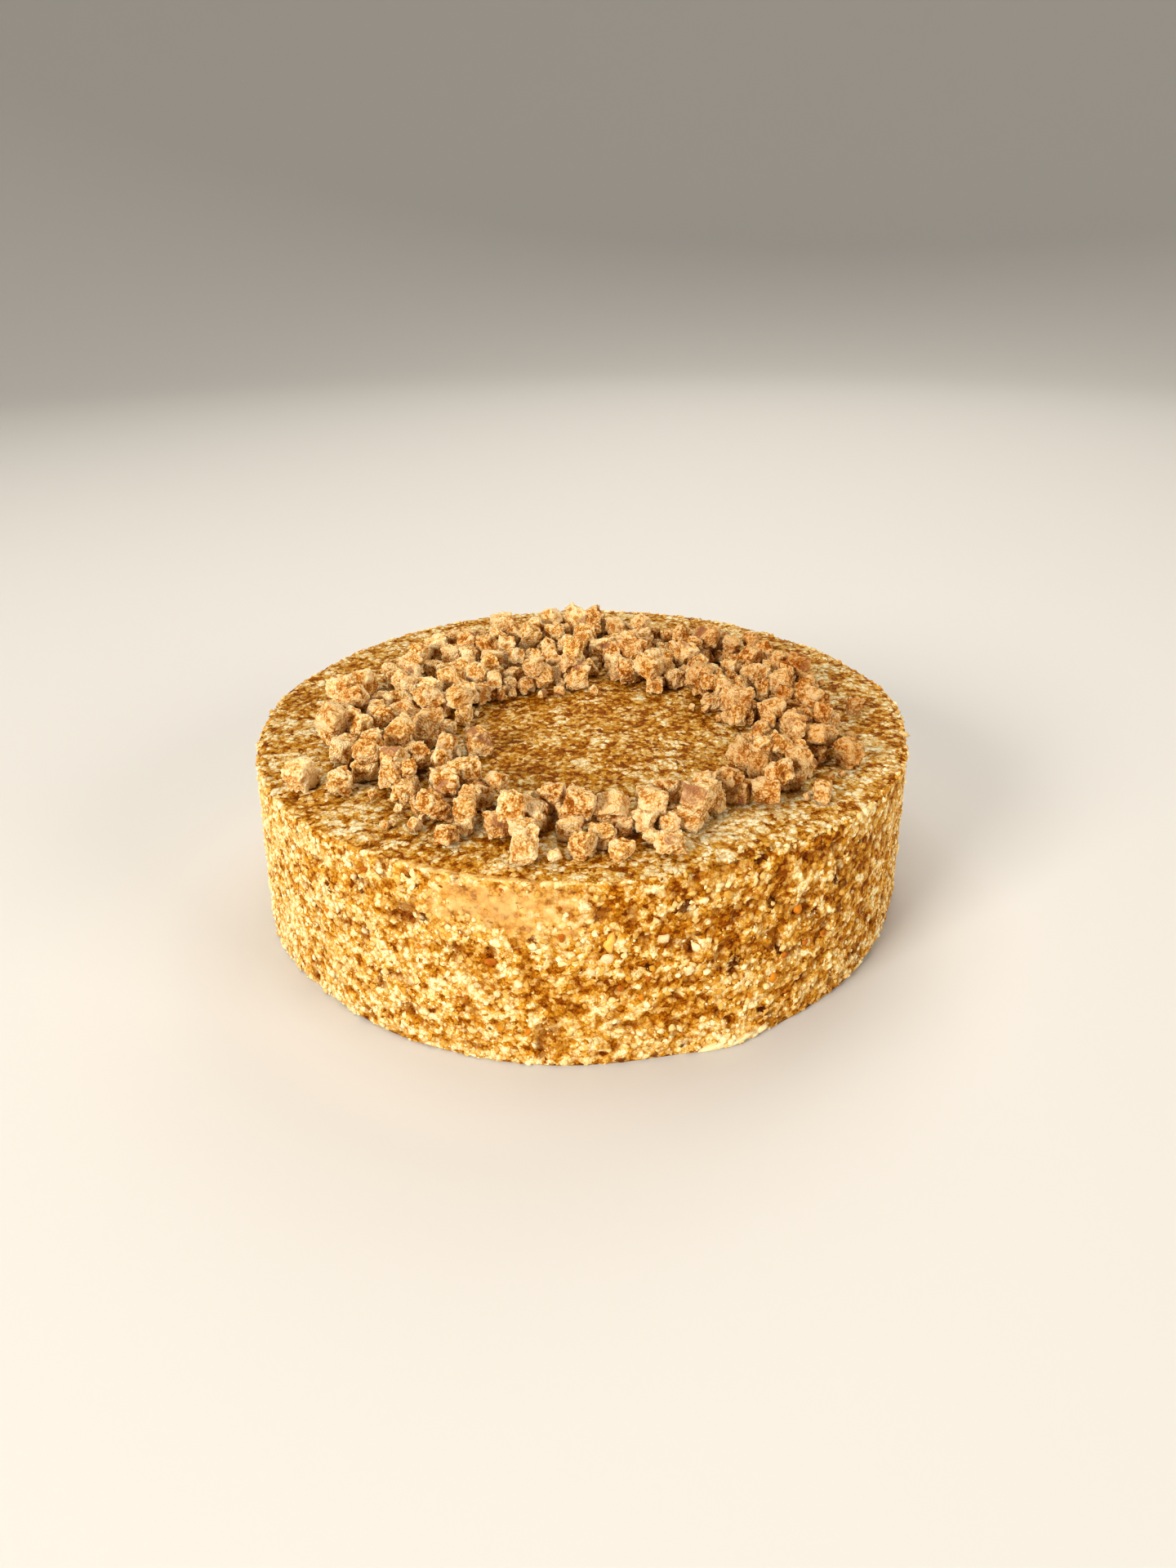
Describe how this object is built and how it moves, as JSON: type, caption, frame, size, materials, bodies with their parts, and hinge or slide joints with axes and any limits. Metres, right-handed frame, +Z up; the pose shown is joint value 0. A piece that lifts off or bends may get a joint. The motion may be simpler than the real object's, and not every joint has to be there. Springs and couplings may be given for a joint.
{
  "type": "round crumb-coated cake",
  "caption": "Uncut round cake coated in pressed ground nuts and dates, with a loose ring of dried-fruit dice on top, for serving or slicing.",
  "frame": {"origin": "centre of the bounding box's underside, on the plane the cake stands on", "axes": "+Z up, -Y towards the viewer of the picture, +X to the viewer's right"},
  "size_m": [0.1833, 0.1829, 0.0618],
  "materials": {
    "nut_crumb": "pressed ground nuts and dates, matte with small glossy date pieces",
    "dried_fruit": "rough dry porous fruit, dusted with spice"
  },
  "bodies": {
    "root": {"crumb_cake": "nut_crumb", "dried_fruit_ring": "dried_fruit", "dried_fruit_die_1": "dried_fruit", "dried_fruit_die_2": "dried_fruit", "dried_fruit_die_3": "dried_fruit", "dried_fruit_die_4": "dried_fruit", "dried_fruit_die_5": "dried_fruit", "dried_fruit_die_6": "dried_fruit", "dried_fruit_die_7": "dried_fruit", "dried_fruit_die_8": "dried_fruit", "dried_fruit_die_9": "dried_fruit", "dried_fruit_die_10": "dried_fruit", "dried_fruit_die_11": "dried_fruit"}
  },
  "joints": []
}
